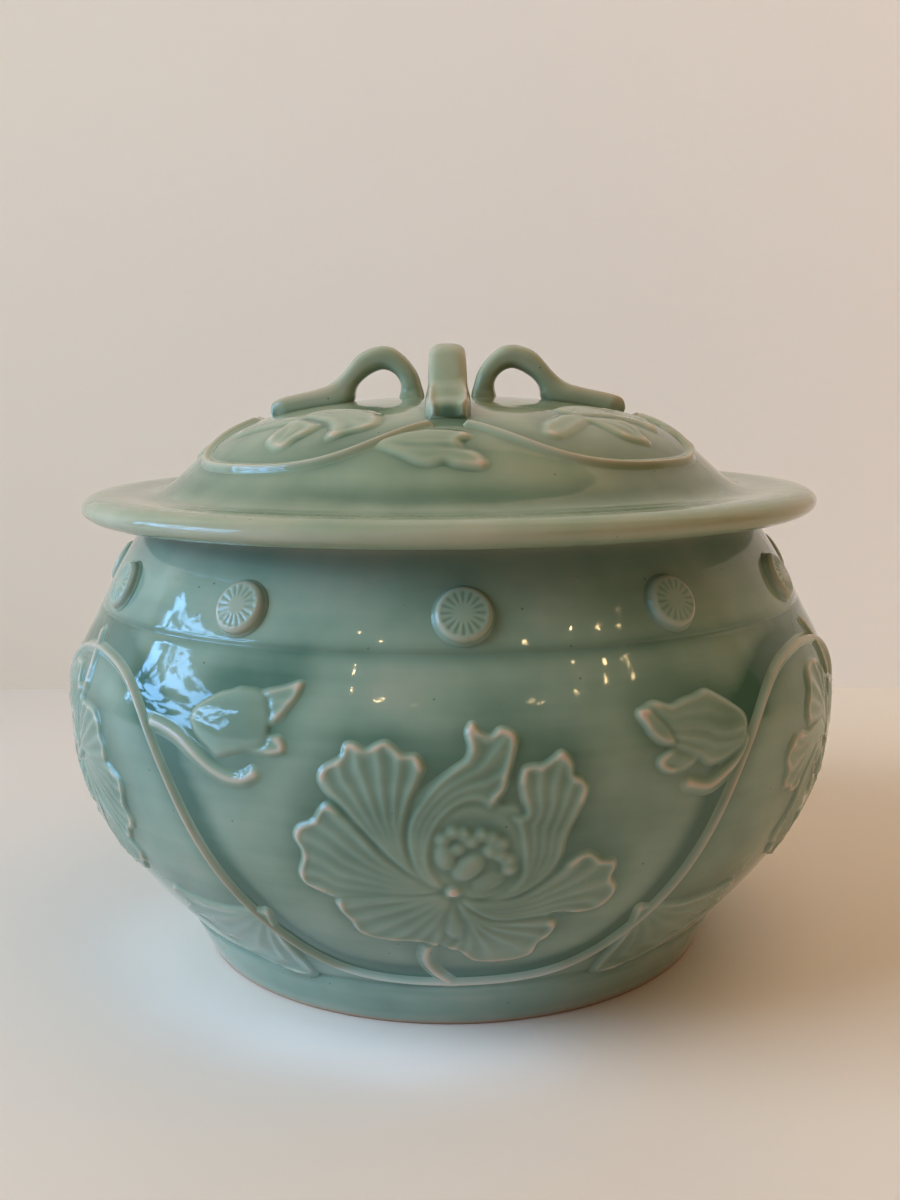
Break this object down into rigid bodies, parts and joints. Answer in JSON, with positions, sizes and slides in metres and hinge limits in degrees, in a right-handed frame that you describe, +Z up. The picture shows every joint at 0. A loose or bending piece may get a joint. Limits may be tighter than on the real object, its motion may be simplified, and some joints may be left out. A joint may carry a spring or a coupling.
{
  "type": "lidded jar",
  "caption": "Squat wide-mouthed celadon jar with relief peonies on a wavy vine, shoulder rosettes and a broad-brimmed domed lid with strap loops.",
  "frame": {"origin": "centre of the foot's underside, on the surface that the jar stands on", "axes": "+Z up along the jar's axis, -Y towards the front, where one large peony faces, +X to the right"},
  "size_m": [0.2328, 0.233, 0.1808],
  "materials": {
    "jar_glaze": "gloss",
    "relief_glaze": "gloss",
    "lid_glaze": "gloss"
  },
  "bodies": {
    "jar": {"bud_front_left_side": "relief_glaze", "bud_front_right_side": "relief_glaze", "bud_left_left_side": "relief_glaze", "bud_left_right_side": "relief_glaze", "bud_right_left_side": "relief_glaze", "bud_right_right_side": "relief_glaze", "hanging_peony_1": "relief_glaze", "hanging_peony_2": "relief_glaze", "hanging_peony_3": "relief_glaze", "jar_body": "jar_glaze", "leaf_front_left_side": "relief_glaze", "leaf_front_right_side": "relief_glaze", "leaf_left_left_side": "relief_glaze", "leaf_left_right_side": "relief_glaze", "leaf_right_left_side": "relief_glaze", "leaf_right_right_side": "relief_glaze", "peony_front": "relief_glaze", "peony_left": "relief_glaze", "peony_right": "relief_glaze", "rosette_01": "relief_glaze", "rosette_02": "relief_glaze", "rosette_03": "relief_glaze", "rosette_04": "relief_glaze", "rosette_05": "relief_glaze", "rosette_06": "relief_glaze", "rosette_07": "relief_glaze", "rosette_08": "relief_glaze", "rosette_09": "relief_glaze", "rosette_10": "relief_glaze", "rosette_11": "relief_glaze", "rosette_12": "relief_glaze", "vine": "relief_glaze"},
    "lid": {"lid_leaf_1": "relief_glaze", "lid_leaf_2": "relief_glaze", "lid_leaf_3": "relief_glaze", "lid_leaf_4": "relief_glaze", "lid_locating_ring": "lid_glaze", "lid_shell": "lid_glaze", "lid_spray_1": "relief_glaze", "lid_spray_2": "relief_glaze", "lid_spray_3": "relief_glaze", "lid_spray_4": "relief_glaze", "lid_vine_1": "relief_glaze", "lid_vine_2": "relief_glaze", "lid_vine_3": "relief_glaze", "lid_vine_4": "relief_glaze", "loop_back": "lid_glaze", "loop_front": "lid_glaze", "loop_left": "lid_glaze", "loop_right": "lid_glaze"}
  },
  "joints": [
    {"name": "lid_lift", "type": "slide", "parent": "jar", "child": "lid", "axis": [0, 0, 1], "range_m": [0, 0.15]}
  ]
}
